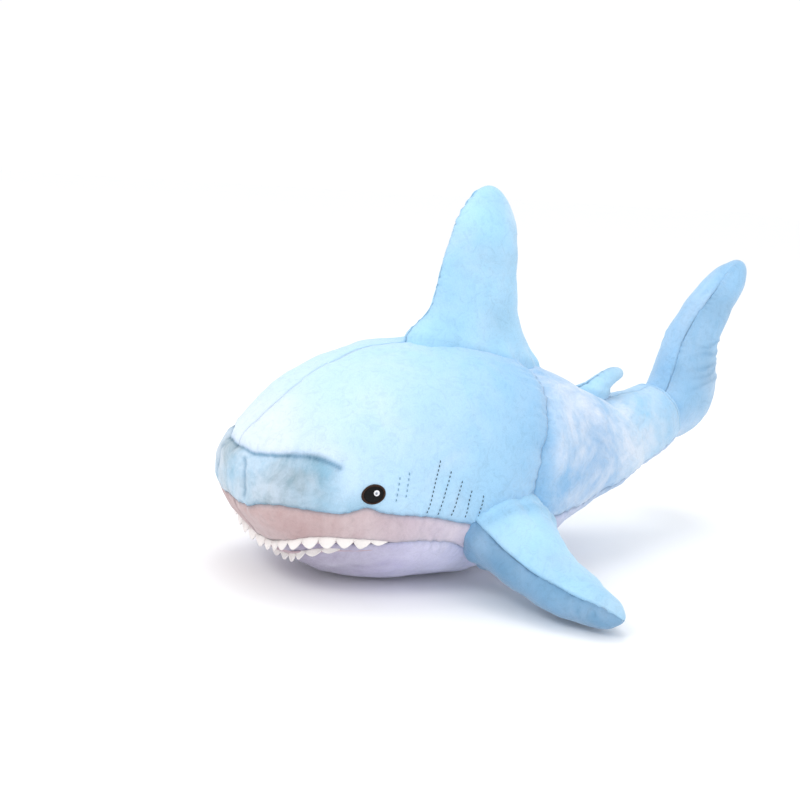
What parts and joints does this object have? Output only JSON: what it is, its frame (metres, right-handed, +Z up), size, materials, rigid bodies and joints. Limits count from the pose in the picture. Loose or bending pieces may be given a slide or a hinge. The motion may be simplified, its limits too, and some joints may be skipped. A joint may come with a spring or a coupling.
{
  "type": "plush shark",
  "caption": "Stuffed plush shark lying on its belly, with a curved tail, soft fins, a folding lower jaw, felt teeth and embroidered eyes and gills.",
  "frame": {"origin": "middle of the flat of the belly, on the surface the toy rests on", "axes": "nose towards -Y, tail towards +Y, the shark's left flank towards +X, +Z up from the resting surface"},
  "size_m": [0.569, 0.7312, 0.4432],
  "materials": {
    "plush_blue": "short-pile plush, dyed light blue in soft clouds",
    "plush_pale": "short-pile plush, blue-grey clouds on a pale lavender ground",
    "plush_cream": "short-pile plush, cream",
    "plush_belly": "short-pile plush, white tinged lavender",
    "felt": "white felt, cut edge",
    "mouth_lining": "smooth tan lining cloth",
    "eye_black": "dense black satin-stitch embroidery",
    "eye_rim": "beige-brown embroidery",
    "eye_white": "white embroidery",
    "thread": "blue-grey embroidery thread",
    "stuffing": "white polyester fibre filling"
  },
  "bodies": {
    "torso": {"body_filling": "stuffing", "back_panel_left": "plush_blue", "back_panel_right": "plush_blue", "lip_panel_left": "plush_cream", "lip_panel_right": "plush_cream", "belly_panel": "plush_belly", "mouth_roof_lining": "mouth_lining", "upper_teeth": "felt", "eye_rim_left": "eye_rim", "eye_pupil_left": "eye_black", "eye_highlight_left": "eye_white", "gill_stitch_left_1": "thread", "gill_stitch_left_2": "thread", "gill_stitch_left_3": "thread", "gill_stitch_left_4": "thread", "gill_stitch_left_5": "thread", "eye_rim_right": "eye_rim", "eye_pupil_right": "eye_black", "eye_highlight_right": "eye_white", "gill_stitch_right_1": "thread", "gill_stitch_right_2": "thread", "gill_stitch_right_3": "thread", "gill_stitch_right_4": "thread", "gill_stitch_right_5": "thread"},
    "lower_jaw": {"jaw_filling": "stuffing", "chin_panel_left": "plush_belly", "chin_panel_right": "plush_belly", "mouth_floor_lining": "mouth_lining", "lower_teeth": "felt"},
    "pectoral_fin_left": {"pectoral_left_top_panel": "plush_blue", "pectoral_left_bottom_panel": "plush_blue", "pectoral_left_filling": "stuffing"},
    "pectoral_fin_right": {"pectoral_right_top_panel": "plush_blue", "pectoral_right_bottom_panel": "plush_blue", "pectoral_right_filling": "stuffing"},
    "dorsal_fin": {"dorsal_left_panel": "plush_blue", "dorsal_right_panel": "plush_blue", "dorsal_filling": "stuffing"},
    "rear_body": {"rear_filling": "stuffing", "rear_back_panel_left": "plush_pale", "rear_back_panel_right": "plush_pale", "rear_belly_panel_left": "plush_belly", "rear_belly_panel_right": "plush_belly"},
    "second_dorsal_fin": {"second_dorsal_left_panel": "plush_blue", "second_dorsal_right_panel": "plush_blue", "second_dorsal_filling": "stuffing"},
    "tail_fin": {"tail_left_panel": "plush_blue", "tail_right_panel": "plush_blue", "tail_filling": "stuffing"}
  },
  "joints": [
    {"name": "jaw_open", "type": "hinge", "parent": "torso", "child": "lower_jaw", "pos_m": [0, -0.072, 0.07], "axis": [1, 0, 0], "range_deg": [0, 12], "stiffness_Nm_per_rad": 1.5},
    {"name": "pectoral_left_lift", "type": "hinge", "parent": "torso", "child": "pectoral_fin_left", "pos_m": [0.1555, 0.0813, 0.0562], "axis": [0.147, -0.989, 0.017], "range_deg": [0, 50], "stiffness_Nm_per_rad": 1},
    {"name": "pectoral_right_lift", "type": "hinge", "parent": "torso", "child": "pectoral_fin_right", "pos_m": [-0.1555, 0.0813, 0.0562], "axis": [0.147, 0.989, -0.017], "range_deg": [0, 50], "stiffness_Nm_per_rad": 1},
    {"name": "dorsal_sway", "type": "hinge", "parent": "torso", "child": "dorsal_fin", "pos_m": [-0.0017, 0.0841, 0.2928], "axis": [0, 0.9858, -0.168], "range_deg": [-25, 25], "stiffness_Nm_per_rad": 1},
    {"name": "body_bend", "type": "hinge", "parent": "torso", "child": "rear_body", "pos_m": [-0.0133, 0.2862, 0.1193], "axis": [0, 0, 1], "range_deg": [-20, 20], "stiffness_Nm_per_rad": 6},
    {"name": "second_dorsal_sway", "type": "hinge", "parent": "rear_body", "child": "second_dorsal_fin", "pos_m": [-0.0119, 0.277, 0.2114], "axis": [-0.144, 0.9862, -0.082], "range_deg": [-25, 25], "stiffness_Nm_per_rad": 0.2},
    {"name": "tail_swing", "type": "hinge", "parent": "rear_body", "child": "tail_fin", "pos_m": [-0.0514, 0.438, 0.1724], "axis": [0.1259, -0.3868, 0.9135], "range_deg": [-28, 28], "stiffness_Nm_per_rad": 1.5}
  ]
}
